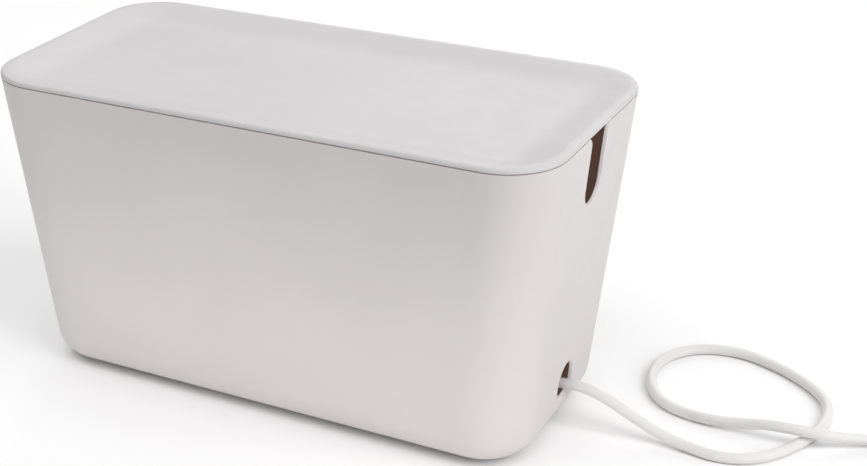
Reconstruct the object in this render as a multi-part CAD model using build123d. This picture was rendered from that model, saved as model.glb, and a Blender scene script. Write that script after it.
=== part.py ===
from build123d import *
import os
from math import hypot, pi, radians, tan

# Desktop cable box with a lift-off lid, the socket strip that it hides, and the strip's lead.
# Millimetres. +Z is up, the floor is at z = 0, and the box is centred on the origin.
# The long front side of the box faces -Y.

# ---- box ----
BOX_LENGTH = 460.0          # at the seam under the lid
BOX_WIDTH = 225.0
SEAM_Z = 246.0
LID_TOP_Z = 250.0
BASE_Z = 1.2                # underside of the box, held off the floor by its feet
WALL_SLOPE = 0.089          # each wall leans in by this much per millimetre downwards
SEAM_CORNER = 45.0          # plan radius of the four upright corners at the seam
BASE_CORNER = 43.5
BASE_EDGE = 25.0            # radius that rolls the walls into the base
WALL = 2.5
FLOOR_TOP_Z = 4.2
SEAM_GAP = 0.5              # the shadow gap reaches this far into the lid and into the box
SEAM_GAP_DEPTH = 1.3

# ---- openings in both end walls ----
SLOT_WIDTH = 30.0
SLOT_Y = -3.0               # the slots sit a little nearer the front than the ports
SLOT_BOTTOM_Z = 188.5
SLOT_FLARE = 10.0           # radius at the slot's two upper corners
FLARE_LIFT = 0.6            # those corners end in a short edge at the seam, not tangent to it
OPENING_EDGE = 0.8          # radius of the outer edges of slots and ports
PORT_WIDTH = 28.0
PORT_BOTTOM_Z = 28.7
PORT_TOP_Z = 55.0
PORT_CORNER = 3.0

# ---- lid ----
RIM_WIDTH = 6.0             # from the lid's outline to the start of its hollow
COVE_END = 32.0             # from the lid's outline to the flat of its hollow
TRAY_TOP_Z = 243.0
TRAY_UNDER_Z = 240.5
RIB_THICKNESS = 1.6
RIB_DEPTH = 5.0
RIB_GAP = 1.0               # between the locating rib and the inside of the wall, at the seam
RIB_NOTCH = 66.0            # the rib stops clear of the slots
RIM_EDGE = 2.2
COVE_RADIUS = 60.0          # where the hollow's slope runs into its flat
TRAY_SKEW = 2.0             # the underside's slope is this much nearer the outline

# ---- feet ----
FOOT_RADIUS = 7.0
FOOT_TOP_Z = 2.7
FOOT_X = 165.0
FOOT_Y = 48.0
FOOT_EDGE = 0.6

# ---- socket strip ----
STRIP_START_X = -175.0
CAP_LENGTH = 10.0
MODULE_LENGTH = 52.0
SOCKET_COUNT = 4
STRIP_WIDTH = 48.0
RAIL_HEIGHT = 40.0
RAIL_WALL = 2.0
RAIL_EDGE = 1.5
PLATE = 2.5
PLATE_EDGE = 1.2
CAP_EDGE = 3.0
WELL_RADIUS = 19.75
WELL_DEPTH = 17.5
CUP_WALL = 2.0
PIN_SPACING = 19.0
PIN_HOLE_RADIUS = 2.7
SCREW_PORT_Y = 19.5
SCREW_PORT_Z = 8.6
SCREW_PORT_RADIUS = 3.0
SCREW_RADIUS = 1.45
SCREW_HEAD_RADIUS = 2.6
SCREW_HEAD = 2.0
SCREW_PLAY = 0.15
SCREW_DEPTH = 14.0          # length of the screw holes in the rail
CROSS_REACH = 1.6           # the cross recess in a screw's head: half its length,
CROSS_HALF = 0.35           # half its width
CROSS_DEPTH = 1.2
BAR_Z = 14.0                # underside of the live and neutral bars
BAR_THICKNESS = 1.5
BAR_WIDTH = 7.4
BAR_OVERHANG = 15.0
SLEEVE_RADIUS = 3.4
SLEEVE_BORE = 2.45
EARTH_Z = 8.0
EARTH_THICKNESS = 1.0
SLEEVE_SPLIT = 0.6
CLIP_RISE = 8.0             # height of the earth clips above the well's floor
CLIP_THICKNESS = 1.0
CLIP_WIDTH = 6.0
CLIP_SLOT = 1.6
CLIP_SLOT_WIDTH = 7.0

# ---- rocker switch ----
ROCKER_RADIUS = 13.2        # end faces turn about the pin at this radius
ROCKER_WIDTH = 19.0
ROCKER_TILT = 12.0          # degrees to each side of level
ROCKER_PLAY = 0.4           # all round, in the frame's opening
ROCKER_SKIRT = 6.0          # the rocker's sides reach this far below the pin
ROCKER_CROWN = 0.2          # its middle stands this much above the plate
SWITCH_DEPTH = 10.5         # from the pin to the floor of the frame
SWITCH_WALL = 1.8
ROCKER_PIN_RADIUS = 1.25
PIN_PLAY = 0.06
PIVOT_DROP = 3.0            # the pin lies this far below the plate's top face
TERMINAL_LOW_Z = 24.0
TERMINAL_Y = 3.0
TERMINAL_LENGTH = 4.8
TERMINAL_THICKNESS = 0.8
TERMINAL_IN_OFFSET = 4.0    # along X, from the switch's middle
TERMINAL_OUT_OFFSET = -10.0
WIRE_RADIUS = 1.3
SHEATH_INSIDE = 11.0

# ---- clamp that holds the lead inside the strip ----
CLAMP_FAR = 9.0             # its two ends, back from the lead's cap
CLAMP_NEAR = 2.0
CLAMP_HALF_WIDTH = 12.0
CLAMP_COVER = 1.7           # thickness over the lead
CLAMP_HEAD = 0.9
CLAMP_SCREW_Y = 8.0
CLAMP_SCREW_REACH = 9.0

# ---- lead ----
LEAD_DIAMETER = 8.2
COIL_CENTRE_X = 505.0
COIL_CENTRE_Y = 50.0
COIL_RADIUS = 46.0          # at the middle of the turns
COIL_LIFT = 1.0             # thickness of the tie that the coil lies on
COIL_LAYERS = 3             # two turns and their climb
COIL_TURNS = 2
TIE_WIDTH = 12.0
TIE_PLAY = 0.6
RELIEF_LENGTH = 36.0        # on the strip's cap
RELIEF_BASE_RADIUS = 7.0
RELIEF_TIP_RADIUS = 5.0
PLUG_X = 579.0
PLUG_RADIUS = 18.6
PLUG_Z = PLUG_RADIUS        # the plug lies on the floor
PLUG_TIP_Y = 16.0           # where the lead enters the plug's own relief
PLUG_RELIEF = 24.0
PLUG_NECK_RADIUS = 10.0
PLUG_NECK = 14.0
PLUG_BARREL = 20.0
PLUG_PIN_RADIUS = 2.4
PLUG_PIN_LENGTH = 19.0
PLUG_PIN_TIP = 1.2          # radius that rounds the pins' ends
EARTH_STRIP_WIDTH = 8.0     # the plug's two side contacts, sunk in its body
EARTH_STRIP_LENGTH = 15.0
EARTH_STRIP_DEPTH = 2.0
EARTH_STRIP_THICKNESS = 0.8

strip_base_z = FLOOR_TOP_Z
rail_top_z = strip_base_z + RAIL_HEIGHT
plate_top_z = rail_top_z + PLATE
strip_axis_z = strip_base_z + 0.5 * RAIL_HEIGHT
modules_start_x = STRIP_START_X + CAP_LENGTH
sockets_end_x = modules_start_x + SOCKET_COUNT * MODULE_LENGTH
modules_end_x = sockets_end_x + MODULE_LENGTH
strip_end_x = modules_end_x + CAP_LENGTH
switch_x = sockets_end_x + 0.5 * MODULE_LENGTH
socket_centres = [modules_start_x + (i + 0.5) * MODULE_LENGTH for i in range(SOCKET_COUNT)]
well_floor_z = plate_top_z - WELL_DEPTH
cup_bottom_z = well_floor_z - CUP_WALL
relief_tip_x = strip_end_x + RELIEF_LENGTH

near_zero = 0.1             # keeps limits clear of the edges that they sort

os.makedirs("parts", exist_ok=True)
saved = []


def save(name, shape):
    """Write one node and keep its name for the printed list."""
    shape.label = name
    export_step(shape, f"parts/{name}.step")
    saved.append(name)
    return shape


def block(x_range, y_range, z_range):
    """A plain rectangular solid between three pairs of limits."""
    size = [high - low for low, high in (x_range, y_range, z_range)]
    middle = [0.5 * (low + high) for low, high in (x_range, y_range, z_range)]
    return Pos(*middle) * Box(*size)


def rod_z(x, y, radius, low_z, high_z):
    return Pos(x, y, 0.5 * (low_z + high_z)) * Cylinder(radius, high_z - low_z)


def rod_x(y, z, radius, low_x, high_x):
    return Pos(0.5 * (low_x + high_x), y, z) * Rot(0, 90, 0) * Cylinder(radius, high_x - low_x)


def rod_y(x, z, radius, low_y, high_y):
    return Pos(x, 0.5 * (low_y + high_y), z) * Rot(90, 0, 0) * Cylinder(radius, high_y - low_y)


def lid_outline(z, inset=0.0):
    """The rounded rectangle of the lid at height z, drawn in by inset: its sides are upright."""
    plan = RectangleRounded(BOX_LENGTH - 2 * inset, BOX_WIDTH - 2 * inset, SEAM_CORNER - inset)
    return Plane.XY.offset(z) * plan


def outline(z, inset=0.0):
    """The rounded rectangle of the leaning walls at height z, drawn in by inset."""
    lean = (SEAM_Z - z) * WALL_SLOPE
    share = (SEAM_Z - z) / (SEAM_Z - BASE_Z)
    corner = SEAM_CORNER + (BASE_CORNER - SEAM_CORNER) * share - inset
    length = BOX_LENGTH - 2 * (lean + inset)
    width = BOX_WIDTH - 2 * (lean + inset)
    return Plane.XY.offset(z) * RectangleRounded(length, width, corner)


def between(low, high):
    return loft([low.face(), high.face()])


def lowest_edges(shape):
    return shape.edges().group_by(Axis.Z)[0]


def highest_edges(shape):
    return shape.edges().group_by(Axis.Z)[-1]


# ---------------------------------------------------------------- box body
outside = between(outline(BASE_Z), outline(SEAM_Z))
outside = fillet(lowest_edges(outside), BASE_EDGE)
mouth_z = SEAM_Z + 6.0      # the cuts below run out through the open top
inside_low = outline(FLOOR_TOP_Z, WALL)
inside_high = outline(SEAM_Z, WALL)
inside = between(inside_low, inside_high)
inside = fillet(lowest_edges(inside), BASE_EDGE - WALL)
inside += extrude(inside_high, mouth_z - SEAM_Z)
box_body = outside - inside

slot_round_z = SLOT_BOTTOM_Z + 0.5 * SLOT_WIDTH
half_slot = 0.5 * SLOT_WIDTH
flare_z = SEAM_Z - SLOT_FLARE + FLARE_LIFT
slot_shape = Pos(SLOT_Y, slot_round_z) * Circle(half_slot)
slot_shape += Pos(SLOT_Y, 0.5 * (slot_round_z + mouth_z)) * Rectangle(SLOT_WIDTH, mouth_z - slot_round_z)
flare_width = SLOT_WIDTH + 2 * SLOT_FLARE
flare_shape = Pos(SLOT_Y, 0.5 * (flare_z + mouth_z)) * Rectangle(flare_width, mouth_z - flare_z)
for side in (-1, 1):
    flare_shape -= Pos(SLOT_Y + side * (half_slot + SLOT_FLARE), flare_z) * Circle(SLOT_FLARE)
slot_shape += flare_shape

port_round_z = PORT_TOP_Z - 0.5 * PORT_WIDTH
port_low_middle = 0.5 * (PORT_BOTTOM_Z + port_round_z)
port_low = Pos(0, port_low_middle) * Rectangle(PORT_WIDTH, port_round_z - PORT_BOTTOM_Z)
port_low = fillet(port_low.vertices().group_by(Axis.Y)[0], PORT_CORNER)
port_shape = port_low + Pos(0, port_round_z) * Circle(0.5 * PORT_WIDTH)

end_cut_start = 190.0       # inside the box at the ports' height
end_cut_length = 60.0
end_plane = Plane.YZ.offset(end_cut_start)
slot_cut = extrude(end_plane * slot_shape, end_cut_length)
port_cut = extrude(end_plane * port_shape, end_cut_length)
for cut in (slot_cut, port_cut):
    box_body -= cut
    box_body -= mirror(cut, Plane.YZ)


def opening_edges(side, low_z, high_z):
    """The edges that lie in the outer face of one end wall, between two heights."""
    near = 0.05
    reach_y = half_slot + SLOT_FLARE - SLOT_Y
    found = []
    for edge in box_body.edges():
        middle = edge.center()
        if side * middle.X < end_cut_start or abs(middle.Y) > reach_y or not low_z < middle.Z < high_z:
            continue
        ends = [edge.position_at(share) for share in (0.1, 0.5, 0.9)]
        wall_x = [0.5 * BOX_LENGTH - (SEAM_Z - end.Z) * WALL_SLOPE for end in ends]
        if all(abs(side * end.X - x) < near for end, x in zip(ends, wall_x)):
            found.append(edge)
    return found


half_way_z = 0.5 * (PORT_TOP_Z + SLOT_BOTTOM_Z)
for side in (-1, 1):
    box_body = fillet(opening_edges(side, PORT_BOTTOM_Z - near_zero, half_way_z), OPENING_EDGE)
    box_body = fillet(opening_edges(side, half_way_z, SEAM_Z - near_zero), OPENING_EDGE)

# A step round the upper outer edge makes the lower half of the shadow gap under the lid.
margin = 1.0
step_height = SEAM_GAP + margin
step = extrude(lid_outline(SEAM_Z - SEAM_GAP, -margin), step_height)
step -= extrude(lid_outline(SEAM_Z - SEAM_GAP, SEAM_GAP_DEPTH), step_height)
box_body -= step

foot_places = []
for side_name, side in (("left", -1), ("right", 1)):
    for depth_name, depth in (("front", -1), ("back", 1)):
        foot_places.append((f"foot_{depth_name}_{side_name}", side * FOOT_X, depth * FOOT_Y))
pocket_play = 0.1
for _, x, y in foot_places:
    box_body -= rod_z(x, y, FOOT_RADIUS + pocket_play, 0.0, FOOT_TOP_Z)
save("box_body", box_body)

for name, x, y in foot_places:
    foot = rod_z(x, y, FOOT_RADIUS, 0.0, FOOT_TOP_Z)
    save(name, fillet(lowest_edges(foot), FOOT_EDGE))

# ---------------------------------------------------------------- lid
rim = extrude(lid_outline(SEAM_Z), LID_TOP_Z - SEAM_Z)
rim = fillet(highest_edges(rim), RIM_EDGE)
gap = extrude(lid_outline(SEAM_Z), SEAM_GAP)
gap -= extrude(lid_outline(SEAM_Z, SEAM_GAP_DEPTH), SEAM_GAP)
rim -= gap
tray = between(lid_outline(TRAY_UNDER_Z, COVE_END - TRAY_SKEW), lid_outline(SEAM_Z, RIM_WIDTH - TRAY_SKEW))
hollow = between(lid_outline(TRAY_TOP_Z, COVE_END), lid_outline(LID_TOP_Z, RIM_WIDTH))
hollow = fillet(lowest_edges(hollow), COVE_RADIUS)
rib_inset = WALL + RIB_GAP
rib = extrude(lid_outline(SEAM_Z - RIB_DEPTH, rib_inset), RIB_DEPTH)
rib -= extrude(lid_outline(SEAM_Z - RIB_DEPTH, rib_inset + RIB_THICKNESS), RIB_DEPTH)
half_notch = 0.5 * RIB_NOTCH
rib -= block((-BOX_LENGTH, BOX_LENGTH), (-half_notch, half_notch), (SEAM_Z - 2 * RIB_DEPTH, SEAM_Z))
lid = rim + tray - hollow + rib
save("lid", lid)

# ---------------------------------------------------------------- rail of the socket strip
half_width = 0.5 * STRIP_WIDTH
half_inner = half_width - RAIL_WALL
rail_x = (modules_start_x, modules_end_x)
rail = block(rail_x, (-half_width, half_width), (strip_base_z, rail_top_z))
rail = fillet(rail.edges().filter_by(Axis.X).group_by(Axis.Z)[0], RAIL_EDGE)
rail -= block(rail_x, (-half_inner, half_inner), (strip_base_z + RAIL_WALL, rail_top_z))
for side in (-1, 1):
    y = side * SCREW_PORT_Y
    rail += rod_x(y, SCREW_PORT_Z, SCREW_PORT_RADIUS, modules_start_x, modules_end_x)
    rail -= rod_x(y, SCREW_PORT_Z, SCREW_RADIUS, modules_start_x, modules_start_x + SCREW_DEPTH)
    rail -= rod_x(y, SCREW_PORT_Z, SCREW_RADIUS, modules_end_x - SCREW_DEPTH, modules_end_x)
save("strip_rail", rail)


def end_cap(low_x, high_x, outer_face):
    """One moulded cap, rounded on its outer face, with two recessed screw holes."""
    cap = block((low_x, high_x), (-half_width, half_width), (strip_base_z, plate_top_z))
    cap = fillet(cap.faces().sort_by(Axis.X)[outer_face].edges(), CAP_EDGE)
    for side in (-1, 1):
        cap -= rod_x(side * SCREW_PORT_Y, SCREW_PORT_Z, SCREW_RADIUS + SCREW_PLAY, low_x, high_x)
        head = (high_x - SCREW_HEAD, high_x) if outer_face == -1 else (low_x, low_x + SCREW_HEAD)
        cap -= rod_x(side * SCREW_PORT_Y, SCREW_PORT_Z, SCREW_HEAD_RADIUS + SCREW_PLAY, *head)
    return cap


def cap_screw(y, head_x, towards):
    """A self-tapping screw along X, with a cross recess; towards is +1 or -1, into the rail."""
    head_end = head_x + towards * SCREW_HEAD
    tip = head_end + towards * (CAP_LENGTH - SCREW_HEAD + SCREW_DEPTH - 2.0)
    screw = rod_x(y, SCREW_PORT_Z, SCREW_HEAD_RADIUS, *sorted((head_x, head_end)))
    screw += rod_x(y, SCREW_PORT_Z, SCREW_RADIUS, *sorted((head_end, tip)))
    recess_x = sorted((head_x, head_x + towards * CROSS_DEPTH))
    for half_y, half_z in ((CROSS_REACH, CROSS_HALF), (CROSS_HALF, CROSS_REACH)):
        screw -= block(recess_x, (y - half_y, y + half_y), (SCREW_PORT_Z - half_z, SCREW_PORT_Z + half_z))
    return screw


save("cap_blind", end_cap(STRIP_START_X, modules_start_x, 0))
cap_lead = end_cap(modules_end_x, strip_end_x, -1)
cap_lead -= rod_x(0, strip_axis_z, 0.5 * LEAD_DIAMETER, modules_end_x, strip_end_x)
save("cap_lead", cap_lead)
screws = [cap_screw(side * SCREW_PORT_Y, STRIP_START_X, 1) for side in (-1, 1)]
screws += [cap_screw(side * SCREW_PORT_Y, strip_end_x, -1) for side in (-1, 1)]
save("cap_screws", Compound(children=screws))

# ---------------------------------------------------------------- sockets
clip_offset = WELL_RADIUS - 1.0      # the earth clips stand just inside the well's wall
half_pins = 0.5 * PIN_SPACING
for number, x in enumerate(socket_centres, start=1):
    module_x = (x - 0.5 * MODULE_LENGTH, x + 0.5 * MODULE_LENGTH)
    plate = block(module_x, (-half_width, half_width), (rail_top_z, plate_top_z))
    plate = fillet(plate.edges().filter_by(Axis.X).group_by(Axis.Z)[-1], PLATE_EDGE)
    module = plate + rod_z(x, 0, WELL_RADIUS + CUP_WALL, cup_bottom_z, rail_top_z)
    module -= rod_z(x, 0, WELL_RADIUS, well_floor_z, plate_top_z)
    for side in (-1, 1):
        module -= rod_z(x, side * half_pins, PIN_HOLE_RADIUS, cup_bottom_z, well_floor_z)
        slot_x = x + side * clip_offset
        module -= block(
            (slot_x - 0.5 * CLIP_SLOT, slot_x + 0.5 * CLIP_SLOT),
            (-0.5 * CLIP_SLOT_WIDTH, 0.5 * CLIP_SLOT_WIDTH),
            (cup_bottom_z, well_floor_z),
        )
    save(f"socket_{number}", module)


def contact_bar(y):
    """A brass bar with one split sleeve under each pin hole on this side."""
    bar_x = (socket_centres[0] - BAR_OVERHANG, socket_centres[-1] + BAR_OVERHANG)
    bar = block(bar_x, (y - 0.5 * BAR_WIDTH, y + 0.5 * BAR_WIDTH), (BAR_Z, BAR_Z + BAR_THICKNESS))
    sleeve_top_z = cup_bottom_z - 0.4
    split_y = (y - 0.5 * SLEEVE_SPLIT, y + 0.5 * SLEEVE_SPLIT)
    for x in socket_centres:
        bar += rod_z(x, y, SLEEVE_RADIUS, BAR_Z, sleeve_top_z)
        bar -= rod_z(x, y, SLEEVE_BORE, BAR_Z, sleeve_top_z)
        bar -= block((x - SLEEVE_RADIUS, x + SLEEVE_RADIUS), split_y, (BAR_Z + 5.0, cup_bottom_z))
    return bar


save("live_bar", contact_bar(half_pins))
save("neutral_bar", contact_bar(-half_pins))

earth_end_x = sockets_end_x - 2.0
earth_x = (socket_centres[0] - WELL_RADIUS, earth_end_x)
clip_y = (-0.5 * CLIP_WIDTH, 0.5 * CLIP_WIDTH)
earth_bar = block(earth_x, clip_y, (EARTH_Z, EARTH_Z + EARTH_THICKNESS))
for x in socket_centres:
    for side in (-1, 1):
        clip_x = x + side * clip_offset
        clip_sides_x = (clip_x - 0.5 * CLIP_THICKNESS, clip_x + 0.5 * CLIP_THICKNESS)
        earth_bar += block(clip_sides_x, clip_y, (EARTH_Z, well_floor_z + CLIP_RISE))
save("earth_bar", earth_bar)

# ---------------------------------------------------------------- switch
half_opening_x = ROCKER_RADIUS + ROCKER_PLAY
half_opening_y = 0.5 * ROCKER_WIDTH + ROCKER_PLAY
pivot_z = plate_top_z - PIVOT_DROP
switch_floor_z = pivot_z - SWITCH_DEPTH
switch_box_x = (switch_x - half_opening_x - SWITCH_WALL, switch_x + half_opening_x + SWITCH_WALL)
switch_box_y = (-half_opening_y - SWITCH_WALL, half_opening_y + SWITCH_WALL)
frame_x = (sockets_end_x, modules_end_x)
switch_frame = block(frame_x, (-half_width, half_width), (rail_top_z, plate_top_z))
switch_frame = fillet(switch_frame.edges().filter_by(Axis.X).group_by(Axis.Z)[-1], PLATE_EDGE)
switch_frame += block(switch_box_x, switch_box_y, (switch_floor_z - SWITCH_WALL, rail_top_z))
switch_frame -= block(
    (switch_x - half_opening_x, switch_x + half_opening_x),
    (-half_opening_y, half_opening_y),
    (switch_floor_z, plate_top_z),
)
switch_frame -= rod_y(switch_x, pivot_z, ROCKER_PIN_RADIUS, *switch_box_y)
save("switch_frame", switch_frame)
save("rocker_pin", rod_y(switch_x, pivot_z, ROCKER_PIN_RADIUS, *switch_box_y))

# The rocker is drawn level, then turned so that its +X half is pressed in.
side_reach = ROCKER_RADIUS + 1.0     # past the round end faces that trim it
rise = side_reach * tan(radians(ROCKER_TILT))
ridge = PIVOT_DROP + ROCKER_CROWN
rocker_side = Polygon(
    (-side_reach, -ROCKER_SKIRT),
    (side_reach, -ROCKER_SKIRT),
    (side_reach, ridge + rise),
    (0.0, ridge),
    (-side_reach, ridge + rise),
    align=None,
)
rocker_side &= Circle(ROCKER_RADIUS)
rocker_side -= Circle(ROCKER_PIN_RADIUS + PIN_PLAY)
rocker = extrude(Plane.XZ * rocker_side, 0.5 * ROCKER_WIDTH, both=True)
rocker = Pos(switch_x, 0, pivot_z) * Rot(0, ROCKER_TILT, 0) * rocker
save("rocker", rocker)

terminal_in_x = switch_x + TERMINAL_IN_OFFSET
terminal_out_x = switch_x + TERMINAL_OUT_OFFSET
half_terminal = 0.5 * TERMINAL_LENGTH
half_blade = 0.5 * TERMINAL_THICKNESS
terminal_z = (TERMINAL_LOW_Z, switch_floor_z - SWITCH_WALL)
terminals = []
for y in (-TERMINAL_Y, TERMINAL_Y):
    for x in (terminal_in_x, terminal_out_x):
        blade_x = (x - half_terminal, x + half_terminal)
        terminals.append(block(blade_x, (y - half_blade, y + half_blade), terminal_z))
save("switch_terminals", Compound(children=terminals))

# ---------------------------------------------------------------- lead and wires inside the strip
lead_radius = 0.5 * LEAD_DIAMETER
sheath_end_x = modules_end_x - SHEATH_INSIDE
sheath = rod_x(0, strip_axis_z, lead_radius, sheath_end_x, strip_end_x)
clamp_x = (modules_end_x - CLAMP_FAR, modules_end_x - CLAMP_NEAR)
clamp_y = (-CLAMP_HALF_WIDTH, CLAMP_HALF_WIDTH)
clamp_top_z = strip_axis_z + lead_radius + CLAMP_COVER
clamp_base = block(clamp_x, clamp_y, (strip_base_z + RAIL_WALL, strip_axis_z)) - sheath
clamp_bar = block(clamp_x, clamp_y, (strip_axis_z, clamp_top_z)) - sheath
clamp_screws = []
clamp_middle_x = 0.5 * (clamp_x[0] + clamp_x[1])
clamp_head_z = clamp_top_z + CLAMP_HEAD
for y in (-CLAMP_SCREW_Y, CLAMP_SCREW_Y):
    shank = rod_z(clamp_middle_x, y, SCREW_RADIUS, strip_axis_z - CLAMP_SCREW_REACH, clamp_top_z)
    clamp_base -= shank
    clamp_bar -= shank
    clamp_screws.append(shank + rod_z(clamp_middle_x, y, SCREW_HEAD_RADIUS, clamp_top_z, clamp_head_z))
save("lead_end", sheath)
save("clamp_base", clamp_base)
save("clamp_bar", clamp_bar)
save("clamp_screws", Compound(children=clamp_screws))


def tube(points, radius):
    """A round tube along straight runs joined by tangent arcs; returns it, its length, its tightest arc."""
    corners = []
    for before, here, after in zip(points, points[1:], points[2:]):
        into = Vector(*here) - Vector(*before)
        out = Vector(*after) - Vector(*here)
        half_turn = radians(0.5 * into.get_angle(out))
        corners.append(0.45 * min(into.length, out.length) / tan(half_turn))
    path = FilletPolyline(*points, radius=corners)
    start = Plane(origin=points[0], z_dir=Vector(*points[1]) - Vector(*points[0]))
    solid = sweep(start * Circle(radius), path=path)
    return solid, path.length, min(corners)


core_y = 1.7                # the three cores' places in the cut end of the sheath
core_z = strip_axis_z + 1.0
earth_core_z = strip_axis_z - 1.9
feed_z = TERMINAL_LOW_Z + 1.5
bar_middle_z = BAR_Z + 0.5 * BAR_THICKNESS
bar_end_x = socket_centres[-1] + BAR_OVERHANG
for name, side in (("live", 1), ("neutral", -1)):
    feed = [
        (sheath_end_x, side * core_y, core_z),
        (sheath_end_x - 3.0, side * core_y, core_z),
        (terminal_in_x + half_terminal + 3.0, side * TERMINAL_Y, feed_z),
        (terminal_in_x + half_terminal, side * TERMINAL_Y, feed_z),
    ]
    save(f"wire_{name}_in", tube(feed, WIRE_RADIUS)[0])
    link = [
        (terminal_out_x - half_terminal, side * TERMINAL_Y, feed_z),
        (terminal_out_x - half_terminal - 5.0, side * TERMINAL_Y, feed_z),
        (bar_end_x + 6.0, side * half_pins, bar_middle_z),
        (bar_end_x, side * half_pins, bar_middle_z),
    ]
    save(f"wire_{name}_out", tube(link, WIRE_RADIUS)[0])
earth_middle_z = EARTH_Z + 0.5 * EARTH_THICKNESS
earth_run = [
    (sheath_end_x, 0.0, earth_core_z),
    (sheath_end_x - 6.0, 0.0, earth_core_z),
    (earth_end_x + 12.0, 0.0, earth_middle_z),
    (earth_end_x, 0.0, earth_middle_z),
]
save("wire_earth", tube(earth_run, WIRE_RADIUS)[0])

# ---------------------------------------------------------------- lead outside the strip
relief = Pos(0.5 * (strip_end_x + relief_tip_x), 0, strip_axis_z) * Rot(0, 90, 0) * Cone(
    RELIEF_BASE_RADIUS, RELIEF_TIP_RADIUS, RELIEF_LENGTH
)
save("lead_relief", relief)

on_floor = lead_radius
coil_low_z = COIL_LIFT + lead_radius
coil_top_z = COIL_LIFT + (COIL_LAYERS - 0.5) * LEAD_DIAMETER
coil_side_y = COIL_CENTRE_Y + COIL_RADIUS
lead_route = [
    (relief_tip_x, 0.0, strip_axis_z),
    (165.0, 0.0, strip_axis_z),
    (192.0, 4.0, 32.2),
    (219.0, 8.0, 33.8),                    # through the port, over its sill
    (241.0, 8.0, 28.5),
    (260.0, 8.0, 19.0),
    (281.0, 8.0, 9.5),
    (304.0, 7.0, on_floor),
    (331.0, 2.5, on_floor),
    (356.0, 13.0, on_floor),
    (375.0, 40.0, on_floor),
    (388.0, 77.0, on_floor),
    (386.0, 111.0, on_floor),
    (368.0, 135.0, on_floor),
    (335.0, 156.0, on_floor),
    (300.0, 167.0, on_floor),
    (266.0, 157.0, on_floor),
    (246.0, 127.0, on_floor),
    (249.0, 89.0, on_floor),
    (269.0, 59.0, on_floor),
    (302.0, 50.0, on_floor),
    (336.0, 52.0, 7.5),
    (356.0, 49.0, 14.0),                   # two points over the crossing
    (389.0, 52.0, 13.5),
    (413.0, 69.0, 6.0),
    (439.0, 85.0, on_floor),
    (473.0, coil_side_y, on_floor + 0.5),
    (COIL_CENTRE_X, coil_side_y, coil_low_z),
]
lead_tube, lead_length, tightest = tube(lead_route, lead_radius)
save("lead_tube", lead_tube)
section = pi * lead_radius**2
ratio = lead_tube.volume / section / lead_length
print(f"lead: {lead_length:.1f} mm, tightest {tightest:.1f}, volume ratio {ratio:.4f}")

coil_low = COIL_LIFT
coil_high = COIL_LIFT + COIL_LAYERS * LEAD_DIAMETER
coil = rod_z(COIL_CENTRE_X, COIL_CENTRE_Y, COIL_RADIUS + lead_radius, coil_low, coil_high)
coil -= rod_z(COIL_CENTRE_X, COIL_CENTRE_Y, COIL_RADIUS - lead_radius, coil_low, coil_high)
save("lead_coil", coil)

tie_x = (COIL_CENTRE_X - 0.5 * TIE_WIDTH, COIL_CENTRE_X + 0.5 * TIE_WIDTH)
tie_middle_y = COIL_CENTRE_Y - COIL_RADIUS
tie_reach = lead_radius + TIE_PLAY
tie_inner_y = (tie_middle_y - tie_reach, tie_middle_y + tie_reach)
tie_outer_y = (tie_inner_y[0] - COIL_LIFT, tie_inner_y[1] + COIL_LIFT)
tie = block(tie_x, tie_outer_y, (0.0, coil_high + COIL_LIFT))
tie -= block(tie_x, tie_inner_y, (coil_low, coil_high))
save("coil_tie", tie)

tail_route = [
    (COIL_CENTRE_X, coil_side_y, coil_top_z),
    (531.0, coil_side_y, coil_top_z),
    (556.0, 86.0, 20.7),
    (573.0, 66.0, PLUG_Z),
    (PLUG_X, 41.0, PLUG_Z),
    (PLUG_X, PLUG_TIP_Y, PLUG_Z),
]
lead_tail, tail_length, tightest = tube(tail_route, lead_radius)
save("lead_tail", lead_tail)
ratio = lead_tail.volume / section / tail_length
print(f"tail: {tail_length:.1f} mm, tightest {tightest:.1f}, volume ratio {ratio:.4f}")
coil_length = COIL_TURNS * hypot(2 * pi * COIL_RADIUS, LEAD_DIAMETER)
print(f"lead in all: {(lead_length + coil_length + tail_length) / 1000:.3f} m")

# ---------------------------------------------------------------- plug
relief_foot_y = PLUG_TIP_Y - PLUG_RELIEF
shoulder_y = relief_foot_y - PLUG_NECK
face_y = shoulder_y - PLUG_BARREL
save(
    "plug_relief",
    Pos(PLUG_X, 0.5 * (PLUG_TIP_Y + relief_foot_y), PLUG_Z)
    * Rot(90, 0, 0)
    * Cone(RELIEF_TIP_RADIUS, RELIEF_BASE_RADIUS, PLUG_RELIEF),
)
neck_y = 0.5 * (relief_foot_y + shoulder_y)
neck = Pos(PLUG_X, neck_y, PLUG_Z) * Rot(90, 0, 0) * Cone(PLUG_NECK_RADIUS, PLUG_RADIUS, PLUG_NECK)
plug_body = neck + rod_y(PLUG_X, PLUG_Z, PLUG_RADIUS, face_y, shoulder_y)
contact_x = (PLUG_X - 0.5 * EARTH_STRIP_WIDTH, PLUG_X + 0.5 * EARTH_STRIP_WIDTH)
contact_y = (face_y, face_y + EARTH_STRIP_LENGTH)
earth_strips = []
for side in (-1, 1):
    outer_z = PLUG_Z + side * (PLUG_RADIUS + 1.0)
    inner_z = PLUG_Z + side * (PLUG_RADIUS - EARTH_STRIP_DEPTH)
    plug_body -= block(contact_x, contact_y, sorted((outer_z, inner_z)))
    strip_z = sorted((inner_z, inner_z + side * EARTH_STRIP_THICKNESS))
    earth_strips.append(block(contact_x, contact_y, strip_z))
save("plug_body", plug_body)
save("plug_earth_strips", Compound(children=earth_strips))
plug_pins = []
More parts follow.
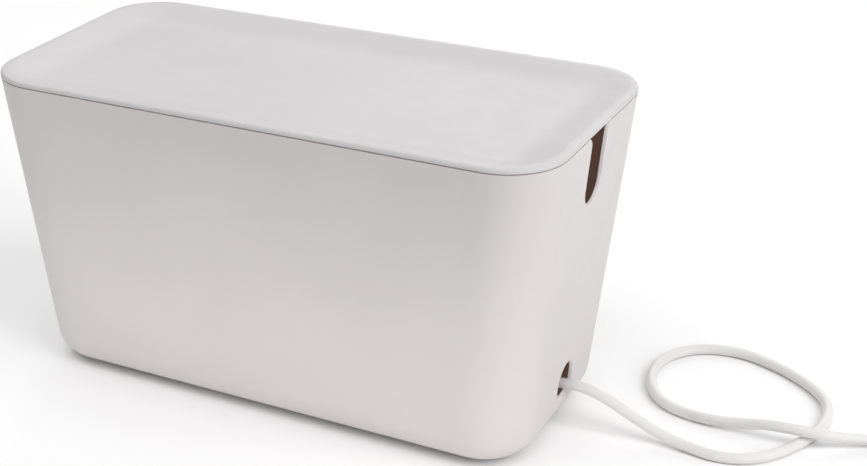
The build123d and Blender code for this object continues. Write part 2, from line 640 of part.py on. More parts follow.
for side in (-1, 1):
    pin = rod_y(PLUG_X + side * half_pins, PLUG_Z, PLUG_PIN_RADIUS, face_y - PLUG_PIN_LENGTH, face_y)
    plug_pins.append(fillet(pin.edges().group_by(Axis.Y)[0], PLUG_PIN_TIP))
save("plug_pins", Compound(children=plug_pins))
print(len(saved), "nodes")
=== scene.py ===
from math import cos, hypot, pi, radians, sin

import bmesh
import bpy
from mathutils import Matrix, Vector


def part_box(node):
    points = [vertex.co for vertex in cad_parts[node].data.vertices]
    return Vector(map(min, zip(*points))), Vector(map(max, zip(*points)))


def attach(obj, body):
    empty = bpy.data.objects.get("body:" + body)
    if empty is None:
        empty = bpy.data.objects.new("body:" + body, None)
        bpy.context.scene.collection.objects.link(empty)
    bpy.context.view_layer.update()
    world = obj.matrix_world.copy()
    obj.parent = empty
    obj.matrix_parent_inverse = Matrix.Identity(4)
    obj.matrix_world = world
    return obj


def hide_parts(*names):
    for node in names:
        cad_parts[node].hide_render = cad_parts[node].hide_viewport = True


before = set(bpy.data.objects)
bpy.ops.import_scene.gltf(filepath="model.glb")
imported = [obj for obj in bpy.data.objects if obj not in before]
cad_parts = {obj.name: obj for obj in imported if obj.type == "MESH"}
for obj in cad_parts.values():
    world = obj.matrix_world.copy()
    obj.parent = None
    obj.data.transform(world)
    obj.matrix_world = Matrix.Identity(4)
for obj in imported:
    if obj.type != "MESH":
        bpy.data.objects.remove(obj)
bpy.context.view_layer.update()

# Desktop cable box with a sunken lid, the socket strip inside it, and the strip's mains lead.
# Metres, in the frame of the CAD model. The long front side of the box faces -Y.

scene = bpy.context.scene
scene.view_settings.view_transform = "Standard"

# ---------------------------------------------------------------- camera
CAMERA_PLACE = (0.5915, -1.0763, 0.6847)
CAMERA_TURN = (65.215, 1.130, 28.791)      # degrees
camera_data = bpy.data.cameras.new("camera")
camera_data.sensor_width = 36.0
camera_data.lens = 71.48
camera_data.shift_x = 0.1530
camera_data.shift_y = 0.0006
camera_data.clip_end = 30.0
camera = bpy.data.objects.new("camera", camera_data)
camera.location = CAMERA_PLACE
camera.rotation_euler = [radians(angle) for angle in CAMERA_TURN]
scene.collection.objects.link(camera)
scene.camera = camera


# ---------------------------------------------------------------- materials
class Shader:
    """A Principled material whose varying parts are drawn by noise in the piece's own space."""

    def __init__(self, name, roughness, **constants):
        self.material = bpy.data.materials.new(name)
        self.material.use_nodes = True
        self.nodes = self.material.node_tree.nodes
        self.links = self.material.node_tree.links
        self.shader = self.nodes["Principled BSDF"]
        self.shader.inputs["Roughness"].default_value = roughness
        for socket, value in constants.items():
            self.shader.inputs[socket.replace("_", " ")].default_value = value
        self.place = self.nodes.new("ShaderNodeTexCoord").outputs["Object"]
        self.bump_out = None

    def node(self, kind, **settings):
        """A new node: a setting is a socket if the node has one of that name, else a property."""
        made = self.nodes.new("ShaderNode" + kind)
        for key, value in settings.items():
            if key in made.inputs:
                made.inputs[key].default_value = value
            else:
                setattr(made, key, value)
        return made

    def stretched(self, scale):
        """Object coordinates scaled by three factors, one for each axis."""
        mapping = self.node("Mapping")
        mapping.inputs["Scale"].default_value = scale
        self.links.new(self.place, mapping.inputs["Vector"])
        return mapping.outputs["Vector"]

    def noise(self, size, detail=2.0, stretch=(1.0, 1.0, 1.0), rough=0.5):
        """Noise from 0 to 1 whose features are about this many metres across."""
        made = self.node("TexNoise", Scale=1.0 / size, Detail=detail, Roughness=rough)
        self.links.new(self.stretched(stretch), made.inputs["Vector"])
        return made.outputs["Fac"]

    def ramp(self, value, low, high, from_low=0.3, from_high=0.7):
        """Stretches the middle of a noise to run from low to high."""
        made = self.node("MapRange")
        for socket, number in zip(made.inputs[1:5], (from_low, from_high, low, high)):
            socket.default_value = number
        self.links.new(value, made.inputs[0])
        return made.outputs[0]

    def colour(self, value, dark, light):
        """Base colour between two linear colours."""
        made = self.node("Mix", data_type="RGBA")
        made.inputs[6].default_value = (*dark, 1.0)
        made.inputs[7].default_value = (*light, 1.0)
        self.links.new(self.ramp(value, 0.0, 1.0), made.inputs[0])
        self.links.new(made.outputs[2], self.shader.inputs["Base Color"])

    def roughness(self, value, low, high):
        """Roughness that varies from low to high."""
        self.links.new(self.ramp(value, low, high), self.shader.inputs["Roughness"])

    def bump(self, value, height):
        """Adds relief of this many metres on top of any relief already there."""
        made = self.node("Bump", Strength=1.0, Distance=height)
        self.links.new(value, made.inputs["Height"])
        if self.bump_out is not None:
            self.links.new(self.bump_out, made.inputs["Normal"])
        self.bump_out = made.outputs["Normal"]
        self.links.new(self.bump_out, self.shader.inputs["Normal"])


def tone(colour, factor):
    """A colour made lighter or darker."""
    return tuple(channel * factor for channel in colour)


def moulded(name, colour, rough, grain, grain_height, spread=0.02, **constants):
    """Moulded plastic: spark-eroded grain, faint cloudy colour, and gloss that varies."""
    made = Shader(name, rough, **constants)
    cloud = made.noise(0.09, detail=3.0)
    made.colour(cloud, tone(colour, 1.0 - spread), tone(colour, 1.0 + spread))
    made.roughness(made.noise(0.012, detail=4.0), rough - 0.06, rough + 0.06)
    made.bump(made.noise(grain, detail=3.0), grain_height)
    made.bump(made.noise(0.03), 0.00002)
    return made.material


def metal(name, colour, rough, stretch, line, height):
    """Bare or plated metal with drawn or rolled lines."""
    made = Shader(name, rough, Metallic=1.0)
    lines = made.noise(line, detail=3.0, stretch=stretch)
    made.colour(made.noise(0.01, detail=3.0), tone(colour, 0.9), tone(colour, 1.06))
    made.roughness(lines, rough - 0.08, rough + 0.10)
    made.bump(lines, height)
    return made.material


# Linear colours.
BODY_WHITE = (0.602, 0.570, 0.566)
LID_WHITE = (0.560, 0.543, 0.551)
INSIDE_WHITE = (0.590, 0.545, 0.520)
LEAD_WHITE = (0.705, 0.692, 0.692)

box_plastic = moulded("box_shell", BODY_WHITE, 0.52, 0.0007, 0.000035, Specular_IOR_Level=0.4)
# Painted light: a faint warm glow of its own stands in for the daylight that passes the thin walls and
# lightens the shaded inside.
inside_painted_glow = moulded(
    "inside_painted_glow", INSIDE_WHITE, 0.62, 0.0009, 0.00005,
    Specular_IOR_Level=0.3, Emission_Color=(1.0, 0.58, 0.42, 1.0), Emission_Strength=0.030,
)
# Painted light: a glow of its own lightens the shaded cut edges round the openings, standing in for the
# light that leaves the thin wall there.
edge_painted_glow = moulded(
    "edge_painted_glow", BODY_WHITE, 0.5, 0.0007, 0.00002,
    Emission_Color=(1.0, 0.93, 0.92, 1.0), Emission_Strength=0.2,
)
lid_plastic = moulded("lid_shell", LID_WHITE, 0.55, 0.0006, 0.00003, Specular_IOR_Level=0.4)
strip_plastic = moulded("strip_plastic", (0.70, 0.70, 0.69), 0.38, 0.0005, 0.00002)
socket_plastic = moulded("socket_plastic", (0.76, 0.76, 0.75), 0.27, 0.0009, 0.00001)
rocker_plastic = moulded("rocker_plastic", (0.50, 0.025, 0.018), 0.22, 0.0012, 0.00001, Coat_Weight=0.4)
clamp_plastic = moulded("clamp_plastic", (0.022, 0.022, 0.022), 0.45, 0.0005, 0.00003)
plug_plastic = moulded("plug_plastic", (0.76, 0.76, 0.75), 0.36, 0.0005, 0.00003)
silicone = moulded(
    "foot_silicone", (0.55, 0.55, 0.53), 0.42, 0.0008, 0.00002,
    Subsurface_Weight=0.3, Subsurface_Scale=0.002,
)
aluminium = metal("rail_aluminium", (0.80, 0.80, 0.81), 0.34, (0.02, 1.0, 1.0), 0.0006, 0.00002)
brass = metal("contact_brass", (0.74, 0.52, 0.22), 0.30, (0.1, 1.0, 1.0), 0.0008, 0.00001)
nickel = metal("plug_metal", (0.66, 0.65, 0.62), 0.18, (1.0, 0.2, 1.0), 0.0007, 0.000004)
zinc = metal("screw_steel", (0.60, 0.61, 0.62), 0.32, (1.0, 1.0, 1.0), 0.0005, 0.00001)
earth_metal = metal("earth_steel", (0.66, 0.66, 0.65), 0.25, (0.1, 1.0, 1.0), 0.0008, 0.00001)
wire_brown = moulded("wire_brown", (0.075, 0.028, 0.010), 0.40, 0.0008, 0.00002)
wire_blue = moulded("wire_blue", (0.010, 0.040, 0.240), 0.40, 0.0008, 0.00002)


def sheath_material():
    """Smooth flexible sheath: slow ripples, a fine skin, uneven gloss, and light scattered below it."""
    made = Shader(
        "lead_sheath", 0.42, Specular_IOR_Level=0.45, Subsurface_Weight=0.7, Subsurface_Scale=0.004,
        Subsurface_Radius=(1.0, 0.95, 0.94),
    )
    made.colour(made.noise(0.05, detail=3.0), tone(LEAD_WHITE, 0.975), tone(LEAD_WHITE, 1.015))
    made.roughness(made.noise(0.006, detail=3.0), 0.36, 0.50)
    made.bump(made.noise(0.0009, detail=2.0), 0.00002)
    made.bump(made.noise(0.012), 0.00008)
    return made.material


def earth_wire_material():
    """Green insulation with yellow stripes along it."""
    made = Shader("wire_green_yellow", 0.40)
    wave = made.node("TexWave", Scale=120.0, Distortion=0.4, bands_direction="Y")
    made.links.new(made.place, wave.inputs["Vector"])
    made.colour(wave.outputs["Fac"], (0.02, 0.22, 0.03), (0.72, 0.56, 0.03))
    made.bump(made.noise(0.0008), 0.00002)
    return made.material


def strap_material():
    """Hook-and-loop tape: a rib across it, and matted loops."""
    made = Shader("tie_fabric", 0.85, Sheen_Weight=0.35, Sheen_Roughness=0.5)
    wave = made.node("TexWave", Scale=420.0, Distortion=2.0, bands_direction="DIAGONAL")
    made.links.new(made.place, wave.inputs["Vector"])
    loops = made.noise(0.0005, detail=4.0, rough=0.7)
    made.colour(loops, (0.30, 0.30, 0.31), (0.52, 0.52, 0.53))
    made.bump(wave.outputs["Fac"], 0.00012)
    made.bump(loops, 0.00025)
    return made.material


sheath = sheath_material()
earth_wire = earth_wire_material()
strap_fabric = strap_material()

# ---------------------------------------------------------------- floor and light
FLOOR_SIZE = 14.0


def floor_material():
    """Pale matt paper, with a trace of texture."""
    made = Shader("floor", 0.75)
    made.colour(made.noise(0.8, detail=2.0), (0.915, 0.913, 0.913), (0.93, 0.93, 0.93))
    made.bump(made.noise(0.004, detail=3.0), 0.00004)
    return made.material


bpy.ops.mesh.primitive_grid_add(x_subdivisions=8, y_subdivisions=8, size=FLOOR_SIZE)
floor = bpy.context.object
floor.name = "floor"
floor.data.materials.append(floor_material())


def softbox(name, place, target, size, watts, spread=180.0):
    """A rectangular light that faces its target and isn't seen by the camera."""
    data = bpy.data.lights.new(name, "AREA")
    data.shape = "RECTANGLE"
    data.size, data.size_y = size
    data.energy = watts
    data.spread = radians(spread)
    lamp = bpy.data.objects.new(name, data)
    lamp.location = place
    lamp.visible_camera = False
    lamp.rotation_euler = (Vector(target) - Vector(place)).to_track_quat("-Z", "Y").to_euler()
    scene.collection.objects.link(lamp)


softbox("right_softbox", (2.6, -0.5, 1.5), (0.1, 0.0, 0.1), (2.2, 2.0), 44.0)
softbox("front_softbox", (-0.2, -1.2, 2.4), (-0.1, -0.5, 0.0), (2.0, 1.4), 18.5)
softbox("top_softbox", (1.4, -0.2, 2.0), (0.2, 0.0, 0.0), (1.4, 1.4), 12.0)
softbox("back_softbox", (-0.3, 3.2, 1.6), (0.0, 0.5, 0.0), (3.0, 1.6), 28.0)
softbox("left_softbox", (-1.5, -0.5, 1.8), (-0.9, -0.3, 0.0), (1.4, 1.4), 8.5)
softbox("far_softbox", (0.4, 2.6, 2.2), (0.3, 2.0, 0.0), (3.6, 2.0), 13.5)
softbox("far_left_softbox", (-1.6, 1.2, 1.8), (-1.4, 0.9, 0.0), (1.6, 1.6), 10.5)
softbox("low_card", (0.05, -0.50, 0.004), (0.05, -0.11, 0.050), (0.6, 0.03), 0.18, spread=60.0)

world = bpy.data.worlds.new("studio")
world.use_nodes = True
world.node_tree.nodes["Background"].inputs["Color"].default_value = (1.0, 1.0, 1.0, 1.0)
world.node_tree.nodes["Background"].inputs["Strength"].default_value = 0.26
scene.world = world


# ---------------------------------------------------------------- making pieces
WELD_DISTANCE = 0.000002


def mm(*values):
    """Millimetres, as metres."""
    return tuple(0.001 * value for value in values)


def add_piece(name, mesh, material, body="box", replaces=()):
    """A new piece that rides on a CAD body."""
    piece = bpy.data.objects.new(name, mesh)
    scene.collection.objects.link(piece)
    piece.data.materials.append(material)
    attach(piece, body)
    if replaces:
        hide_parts(*replaces)
    return piece


def shade(mesh, angle=35.0):
    """Smooth faces, with crisp edges where faces meet at more than this angle."""
    for polygon in mesh.polygons:
        polygon.use_smooth = True
    mesh.set_sharp_from_angle(angle=radians(angle))


def mesh_from(work, name):
    """Turns a bmesh into a mesh and frees it."""
    mesh = bpy.data.meshes.new(name)
    work.to_mesh(mesh)
    work.free()
    return mesh


def welded(node, flat_angle):
    """A bmesh copy of a CAD node, its doubled points joined and its flat facets merged."""
    work = bmesh.new()
    work.from_mesh(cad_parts[node].data)
    bmesh.ops.remove_doubles(work, verts=work.verts, dist=WELD_DISTANCE)
    bmesh.ops.dissolve_limit(work, angle_limit=radians(flat_angle), verts=work.verts, edges=work.edges)
    return work


def add_bevel(piece, name, width, segments, angle=None, harden=True):
    """Rounds the edges sharper than an angle in degrees or, with no angle, the weighted ones."""
    bevel = piece.modifiers.new(name, "BEVEL")
    bevel.width = width
    bevel.segments = segments
    bevel.harden_normals = harden
    if angle is None:
        bevel.limit_method = "WEIGHT"
    else:
        bevel.limit_method = "ANGLE"
        bevel.angle_limit = radians(angle)


def carry_material(node, material):
    """A CAD node that keeps its own mesh gets a material."""
    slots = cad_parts[node].data.materials
    slots.clear()
    slots.append(material)


def softened(node, material, width, body="box", segments=3):
    """Stands for a CAD node with the same faces, welded, with small radii on their edges."""
    name = node + "_shape"
    mesh = mesh_from(welded(node, flat_angle=1.0), name)
    shade(mesh)
    piece = add_piece(name, mesh, material, body, (node,))
    add_bevel(piece, "edges", width, segments, angle=32.0)
    return piece


def turned(name, outline, place, direction, segments=72):
    """A mesh turned about a line: outline holds (along, radius) pairs in metres."""
    work = bmesh.new()
    rings = []
    for along, radius in outline:
        ring = []
        for step in range(segments):
            angle = 2.0 * pi * step / segments
            ring.append(work.verts.new((radius * cos(angle), radius * sin(angle), along)))
        rings.append(ring)
    for low, high in zip(rings, rings[1:]):
        for step in range(segments):
            after = (step + 1) % segments
            work.faces.new((low[step], low[after], high[after], high[step]))
    work.faces.new(list(reversed(rings[0])))
    work.faces.new(rings[-1])
    turn = Vector(direction).to_track_quat("Z", "Y").to_matrix().to_4x4()
    bmesh.ops.transform(work, matrix=Matrix.Translation(place) @ turn, verts=work.verts)
    bmesh.ops.recalc_face_normals(work, faces=work.faces)
    mesh = mesh_from(work, name)
    shade(mesh, angle=40.0)
    return mesh


def ribbed_relief(length, base_radius, tip_radius, grooves, bore_radius):
    """The outline of a strain relief: a tapered sleeve with grooves cut round it."""
    flat = 0.16 * length                # the plain collar at its root
    end = 0.10 * length                 # the plain end
    pitch = (length - flat - end) / grooves
    cut = 0.45 * pitch                  # the width of a groove
    side = 0.12 * cut                   # what each sloping side of a groove takes of it
    depth_share = 0.55                  # of the sleeve's thickness
    edge = 0.0006                       # the chamfer at both ends
    edge_run = 0.0008                   # its length at the tip

    def taper(along):
        return base_radius + (tip_radius - base_radius) * along / length

    points = [(0.0, taper(0.0) - edge), (edge, taper(0.0)), (flat, taper(flat))]
    for groove in range(grooves):
        start = flat + groove * pitch + 0.5 * (pitch - cut)
        depth = depth_share * (taper(start) - bore_radius)
        points.append((start, taper(start)))
        points.append((start + side, taper(start) - depth))
        points.append((start + cut - side, taper(start + cut) - depth))
        points.append((start + cut, taper(start + cut)))
    points += [(length - edge_run, taper(length)), (length, taper(length) - edge)]
    points.append((length, bore_radius))
    return points


# ---------------------------------------------------------------- lead
LEAD_RADIUS = 0.0041
COIL_CENTRE = (0.505, 0.050)
COIL_RADIUS = 0.0469        # of the control points, so that the turns run at 46 mm
COIL_TURNS = 2
COIL_STEPS = 16             # points in each turn
LAYER = 0.0082              # the turns lie one diameter apart
COIL_LOW_Z = 0.0051
CLIMB_START = 0.68          # share of a turn after which it climbs onto the turn below
CLIMB_END = 0.92
ON_FLOOR = 4.1              # millimetres, as in the route below

route = [
    (141, 0, 24.2), (165, 0, 24.2), (192, 4, 32.2), (219, 8, 33.8), (241, 8, 28.5), (260, 8, 19),
    (281, 8, 9.5), (304, 7, ON_FLOOR), (331, 2.5, ON_FLOOR), (356, 13, ON_FLOOR), (375, 40, ON_FLOOR),
    (388, 77, ON_FLOOR), (386, 111, ON_FLOOR), (368, 135, ON_FLOOR), (335, 156, ON_FLOOR),
    (300, 167, ON_FLOOR), (266, 157, ON_FLOOR), (246, 127, ON_FLOOR), (249, 89, ON_FLOOR),
    (269, 59, ON_FLOOR), (302, 50, ON_FLOOR), (336, 52, 7.5), (356, 49, 14), (389, 52, 13.5),
    (413, 69, 6), (439, 85, ON_FLOOR), (473, 96, 4.6), (505, 96, 5.1),
]
tail = [
    (505, 96, 21.5), (531, 96, 21.5), (556, 86, 20.7), (573, 66, 18.6), (579, 41, 18.6), (579, 16, 18.6),
]

lead_points = [mm(*point) for point in route]
for step in range(1, COIL_TURNS * COIL_STEPS):
    turns, part = divmod(step / COIL_STEPS, 1.0)
    climb = min(max((part - CLIMB_START) / (CLIMB_END - CLIMB_START), 0.0), 1.0)
    climb = climb * climb * (3.0 - 2.0 * climb)
    around = 2.0 * pi * part
    lead_points.append((
        COIL_CENTRE[0] + COIL_RADIUS * sin(around),
        COIL_CENTRE[1] + COIL_RADIUS * cos(around),
        COIL_LOW_Z + LAYER * (turns + climb),
    ))
lead_points += [mm(*point) for point in tail]

lead_curve = bpy.data.curves.new("lead", "CURVE")
lead_curve.dimensions = "3D"
lead_curve.bevel_depth = LEAD_RADIUS
lead_curve.bevel_resolution = 8
lead_curve.resolution_u = 10
lead_curve.use_fill_caps = True
spline = lead_curve.splines.new("NURBS")
spline.points.add(len(lead_points) - 1)
for point, place in zip(spline.points, lead_points):
    point.co = (*place, 1.0)
spline.order_u = 3
spline.use_endpoint_u = True
spline.use_smooth = True
lead = add_piece("lead", lead_curve, sheath, "box", ("lead_tube", "lead_coil", "lead_tail"))

# The strain relief on the strip's cap, and one of the same section on the plug.
RELIEF_ROOT_RADIUS = 0.0070
RELIEF_TIP_RADIUS = 0.0050
RELIEF_BORE_RADIUS = LEAD_RADIUS - 0.0002

relief_low, relief_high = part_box("lead_relief")
relief_length = relief_high[0] - relief_low[0]
relief_mesh = turned(
    "strip_relief",
    ribbed_relief(relief_length, RELIEF_ROOT_RADIUS, RELIEF_TIP_RADIUS, 7, RELIEF_BORE_RADIUS),
    (relief_low[0], 0.0, 0.5 * (relief_low[2] + relief_high[2])),
    (1, 0, 0),
)
strip_relief = add_piece("strip_relief", relief_mesh, sheath, "box", ("lead_relief",))

# ---------------------------------------------------------------- plug on the far end
tip_low, tip_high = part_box("plug_relief")
plug_low, plug_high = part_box("plug_body")
plug_x = 0.5 * (plug_low[0] + plug_high[0])
plug_z = 0.5 * (plug_low[2] + plug_high[2])
plug_radius = 0.5 * (plug_high[0] - plug_low[0])
plug_length = plug_high[1] - plug_low[1]
sleeve_length = tip_high[1] - tip_low[1]
relief_mesh = turned(
    "plug_sleeve",
    ribbed_relief(sleeve_length, RELIEF_ROOT_RADIUS, RELIEF_TIP_RADIUS, 5, RELIEF_BORE_RADIUS),
    (plug_x, tip_low[1], plug_z),
    (0, 1, 0),
)
plug_sleeve = add_piece("plug_sleeve", relief_mesh, plug_plastic, "box", ("plug_relief",))

# The plug's outline runs from its flat face back to the sleeve, over a grip with a waist.
plug_outline = [
    (0.0, plug_radius - 0.0022),
    (0.0003, plug_radius - 0.0012),
    (0.0012, plug_radius - 0.0003),
    (0.0022, plug_radius),
    (0.0160, plug_radius),
    (0.0168, plug_radius - 0.0003),
    (0.0172, plug_radius - 0.0008),
    (0.0180, plug_radius - 0.0010),
    (0.0200, plug_radius - 0.0018),
    (0.0230, plug_radius - 0.0036),
    (0.0262, plug_radius - 0.0058),
    (0.0290, plug_radius - 0.0074),
    (0.0312, plug_radius - 0.0084),
    (0.0330, plug_radius - 0.0096),
    (plug_length, plug_radius - 0.0116),
]
plug_mesh = turned("plug_shell", plug_outline, (plug_x, plug_low[1], plug_z), (0, 1, 0), 96)
plug_shell = add_piece("plug_shell", plug_mesh, plug_plastic, "box", ("plug_body",))


def cut_away(piece, low, high, name):
    """Takes a plain block out of a piece, for good."""
    work = bmesh.new()
    bmesh.ops.create_cube(work, size=1.0)
    for vert in work.verts:
        vert.co = [a + (b - a) * (share + 0.5) for a, b, share in zip(low, high, vert.co)]
    cutter = bpy.data.objects.new(name, mesh_from(work, name))
    scene.collection.objects.link(cutter)
    cut = piece.modifiers.new("cut", "BOOLEAN")
    cut.operation = "DIFFERENCE"
    cut.object = cutter
    cut.solver = "EXACT"
    made = bpy.data.meshes.new_from_object(piece.evaluated_get(bpy.context.evaluated_depsgraph_get()))
    piece.modifiers.clear()
    piece.data = made
    bpy.data.objects.remove(cutter)
    shade(made, angle=40.0)


# Two grooves down the plug's sides, where its earth contacts lie.
CUT_PAST = 0.001            # the cut starts this far before the flat face
strips_low, strips_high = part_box("plug_earth_strips")
strip_half = 0.5 * (strips_high[0] - strips_low[0])
strip_depth = 0.002         # to each side of the plug's surface
for side in (-1, 1):
    inner = plug_z + side * (plug_radius - strip_depth)
    outer = plug_z + side * (plug_radius + strip_depth)
    cut_away(
        plug_shell,
        (plug_x - strip_half, plug_low[1] - CUT_PAST, min(inner, outer)),
        (plug_x + strip_half, strips_high[1], max(inner, outer)),
        "contact_groove",
    )

# Finger ribs: narrow raised bars along the grip on its two sides.
RIB_COUNT = 5
RIB_START = 0.0045          # from the plug's flat face
RIB_PITCH = 0.0026
RIB_RADIUS = 0.0007
RIB_HALF_ANGLE = radians(34.0)
RIB_STEPS = 22
RIB_CORNERS = 8
RIB_WELD = 0.000001         # closes the ends, where a ring has no size


def finger_ribs():
    """Bars round part of the grip, which thin out to nothing at their ends."""
    work = bmesh.new()
    ring_radius = plug_radius - 0.5 * RIB_RADIUS
    for side in (-1, 1):
        for rib in range(RIB_COUNT):
            along = RIB_START + rib * RIB_PITCH
            previous = None
            for step in range(RIB_STEPS + 1):
                offset = 2.0 * step / RIB_STEPS - 1.0     # -1 at one end, 1 at the other
                angle = RIB_HALF_ANGLE * offset
                thin = RIB_RADIUS * (1.0 - offset ** 6)
                ring = []
                for corner in range(RIB_CORNERS):
                    turn = 2.0 * pi * corner / RIB_CORNERS
                    radius = ring_radius + thin * cos(turn)
                    ring.append(work.verts.new((
                        plug_x + side * radius * cos(angle),
                        plug_low[1] + along + thin * sin(turn),
                        plug_z + radius * sin(angle),
                    )))
                if previous:
                    for corner in range(RIB_CORNERS):
                        after = (corner + 1) % RIB_CORNERS
                        work.faces.new((previous[corner], previous[after], ring[after], ring[corner]))
                previous = ring
    bmesh.ops.remove_doubles(work, verts=work.verts, dist=RIB_WELD)
    bmesh.ops.recalc_face_normals(work, faces=work.faces)
    mesh = mesh_from(work, "plug_grip")
    shade(mesh, angle=60.0)
    return mesh


plug_grip = add_piece("plug_grip", finger_ribs(), plug_plastic, "box")

# ---------------------------------------------------------------- tie round the put-away coil
tie_low, tie_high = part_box("coil_tie")
TIE_THICKNESS = 0.0009
TIE_SLACK = 0.0001          # between the strap and the lead
TIE_ARC_STEPS = 12
LAP_STEPS = 7
LAP_TURN = 0.62 * pi        # how far the lapped end runs over the top
LAP_LIFT = 1.15 * TIE_THICKNESS
LAP_TIP = (-0.0030, -0.0014)  # from the lap's last point to its pressed-down tip
LAP_TIP_WIDTH = 0.72        # share of the strap's width
STRAP_EDGE_ANGLE = 50.0
# Half widths across and half thicknesses up: the outer face is slightly crowned.
STRAP_SECTION = ((-1, -1), (-1, 1), (-0.5, 1.12), (0, 1.16), (0.5, 1.12), (1, 1), (1, -1), (0, -1))


def strap_mesh():
    """A strap wound once round the stacked turns, with its end lapped over and pressed down."""
    work = bmesh.new()
    middle_x = 0.5 * (tie_low[0] + tie_high[0])
    middle_y = 0.5 * (tie_low[1] + tie_high[1])
    half_width = 0.5 * (tie_high[0] - tie_low[0])
    half_thick = 0.5 * TIE_THICKNESS
    half_y = LEAD_RADIUS + half_thick + TIE_SLACK
    low_z = half_thick
    high_z = COIL_LOW_Z + LAYER + LEAD_RADIUS + half_thick + TIE_SLACK
    mid_low = low_z + half_y
    mid_high = high_z - half_y
    path = []
    for step in range(TIE_ARC_STEPS + 1):
        angle = pi * step / TIE_ARC_STEPS
        path.append((half_y * cos(angle), mid_high + half_y * sin(angle)))
    for step in range(TIE_ARC_STEPS + 1):
        angle = pi + pi * step / TIE_ARC_STEPS
        path.append((half_y * cos(angle), mid_low + half_y * sin(angle)))
    path.append((half_y, 0.5 * (mid_low + mid_high)))
    for step in range(1, LAP_STEPS + 1):
        share = step / LAP_STEPS
        angle = LAP_TURN * share
        grow = LAP_LIFT * min(1.0, 2.0 * share)
        path.append(((half_y + grow) * cos(angle), mid_high + (half_y + grow) * sin(angle)))
    end_y, end_z = path[-1]
    path.append((end_y + LAP_TIP[0], end_z + LAP_TIP[1]))
    sections = []
    for index, (y, z) in enumerate(path):
        before = Vector(path[max(index - 1, 0)])
        after = Vector(path[min(index + 1, len(path) - 1)])
        run = (after - before).normalized()
        out = Vector((run.y, -run.x))
        width = half_width
        if index == len(path) - 1:
            width = LAP_TIP_WIDTH * half_width
        section = []
        for across, up in STRAP_SECTION:
            section.append(work.verts.new((
                middle_x + across * width,
                middle_y + y + out.x * up * half_thick,
                z + out.y * up * half_thick,
            )))
        sections.append(section)
    count = len(sections[0])
    for low, high in zip(sections, sections[1:]):
        for corner in range(count):
            after = (corner + 1) % count
            work.faces.new((low[corner], low[after], high[after], high[corner]))
    work.faces.new(list(reversed(sections[0])))
    work.faces.new(sections[-1])
    bmesh.ops.recalc_face_normals(work, faces=work.faces)
    mesh = mesh_from(work, "coil_strap")
    shade(mesh, angle=STRAP_EDGE_ANGLE)
    return mesh


coil_strap = add_piece("coil_strap", strap_mesh(), strap_fabric, "box", ("coil_tie",))
add_bevel(coil_strap, "edges", 0.0002, 2, angle=STRAP_EDGE_ANGLE, harden=False)

# ---------------------------------------------------------------- box, lid and feet
OUTSIDE, INSIDE, CUT_EDGE = range(3)


def finished(mesh, outside, finish_of):
    """Gives a mesh several finishes: finish_of says which one a face has."""
    mesh.materials.clear()
    for material in (outside, inside_painted_glow, edge_painted_glow):
        mesh.materials.append(material)
    for polygon in mesh.polygons:
        polygon.material_index = finish_of(polygon)


box_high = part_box("box_body")[1]
lid_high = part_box("lid")[1]
WALL = 0.0025
SKIN = 0.2 * WALL           # a face this near a wall's surface lies on that surface
WALL_SLOPE = 0.089          # each wall leans in by this much per metre downwards
FACING = 0.3                # a face points along an axis if its normal has more than this along it
OPENINGS_REACH = 0.030      # the slots and ports lie within this of the middle of each end wall
BOX_RIM = 0.0002            # faces this near the box's top are its rim, which counts as outside
LID_DEPTH_OUTSIDE = 0.0045  # what lies further below the lid's top than this is inside the box


def box_finish(polygon):
    """Inner walls and the floor's top are inside; the thickness round the openings is cut edge."""
    centre = polygon.center
    lean = WALL_SLOPE * (box_high[2] - centre.z)
    depth_x = box_high[0] - lean - abs(centre.x)
    depth_y = box_high[1] - lean - abs(centre.y)
    towards_middle = polygon.normal.x * centre.x + polygon.normal.y * centre.y < 0.0
    deep = min(depth_x, depth_y) > WALL - SKIN
    upwards = polygon.normal.z > FACING and centre.z < 0.5 * box_high[2]
    at_opening = abs(centre.y) < OPENINGS_REACH and SKIN < depth_x < WALL - SKIN
    # Cut edges get the material with a painted glow that lightens them.
    if at_opening and abs(polygon.normal.x) < FACING:
        return CUT_EDGE
    # Inside faces get the material with a painted warm glow.
    if deep and (towards_middle or upwards) and centre.z < box_high[2] - BOX_RIM:
        return INSIDE
    return OUTSIDE


def lid_finish(polygon):
    """Faces that look down and lie below the seam are inside."""
    underneath = polygon.normal.z < -FACING and polygon.center.z < lid_high[2] - LID_DEPTH_OUTSIDE
    return INSIDE if underneath else OUTSIDE


finished(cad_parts["box_body"].data, box_plastic, box_finish)

# The lid is a welded copy whose crest is rounded off towards the hollow.
LID_CORNER = 0.045          # seen from above
CREST_INSET = 0.006         # from the lid's outline to the start of its hollow
CREST_ROUNDING = 0.0013
CREST_NEAR = 0.0001         # how near the crest's line a point has to be
LEVEL_NEAR = 0.00001        # and how near the lid's top


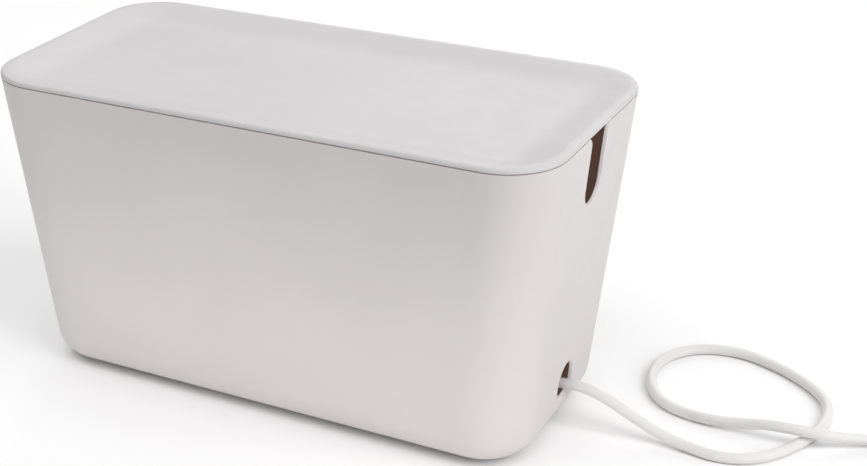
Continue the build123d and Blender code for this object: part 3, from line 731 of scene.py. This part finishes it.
def inset_from_outline(x, y):
    """How far a point lies inside the lid's rounded outline, seen from above."""
    past_x = abs(x) - (lid_high[0] - LID_CORNER)
    past_y = abs(y) - (lid_high[1] - LID_CORNER)
    if past_x > 0.0 and past_y > 0.0:
        return LID_CORNER - hypot(past_x, past_y)
    return min(lid_high[0] - abs(x), lid_high[1] - abs(y))


def on_crest(vert):
    """Whether a point lies where the flat crest turns down into the hollow."""
    off_line = abs(inset_from_outline(vert.co.x, vert.co.y) - CREST_INSET)
    return vert.co.z > lid_high[2] - LEVEL_NEAR and off_line < CREST_NEAR


lid_work = welded("lid", flat_angle=0.5)
weight = lid_work.edges.layers.float.new("bevel_weight_edge")
for edge in lid_work.edges:
    edge[weight] = float(all(on_crest(vert) for vert in edge.verts))
lid_mesh = mesh_from(lid_work, "lid_shape")
shade(lid_mesh, angle=30.0)
lid_shape = add_piece("lid_shape", lid_mesh, lid_plastic, "lid", ("lid",))
finished(lid_mesh, lid_plastic, lid_finish)
add_bevel(lid_shape, "crest", CREST_ROUNDING, 4)

for depth in ("front", "back"):
    for side in ("left", "right"):
        carry_material(f"foot_{depth}_{side}", silicone)

# ---------------------------------------------------------------- socket strip
softened("strip_rail", aluminium, 0.00015, segments=2)
for node in ("cap_blind", "cap_lead", "switch_frame"):
    softened(node, strip_plastic, 0.00035)
for number in range(1, 5):
    softened(f"socket_{number}", socket_plastic, 0.00045)
softened("rocker", rocker_plastic, 0.0005, body="rocker")
softened("cap_screws", zinc, 0.00015, segments=2)
softened("rocker_pin", zinc, 0.0001, segments=2)
softened("clamp_screws", zinc, 0.00015, segments=2)
for node in ("clamp_base", "clamp_bar"):
    softened(node, clamp_plastic, 0.0003)
for node in ("live_bar", "neutral_bar", "switch_terminals"):
    softened(node, brass, 0.0001, segments=2)
softened("earth_bar", earth_metal, 0.00015, segments=2)
plug_earth_strips = softened("plug_earth_strips", nickel, 0.00015, segments=2)

plain_nodes = {
    "plug_pins": nickel,
    "lead_end": sheath,
    "wire_live_in": wire_brown,
    "wire_live_out": wire_brown,
    "wire_neutral_in": wire_blue,
    "wire_neutral_out": wire_blue,
    "wire_earth": earth_wire,
}
for node, material in plain_nodes.items():
    carry_material(node, material)
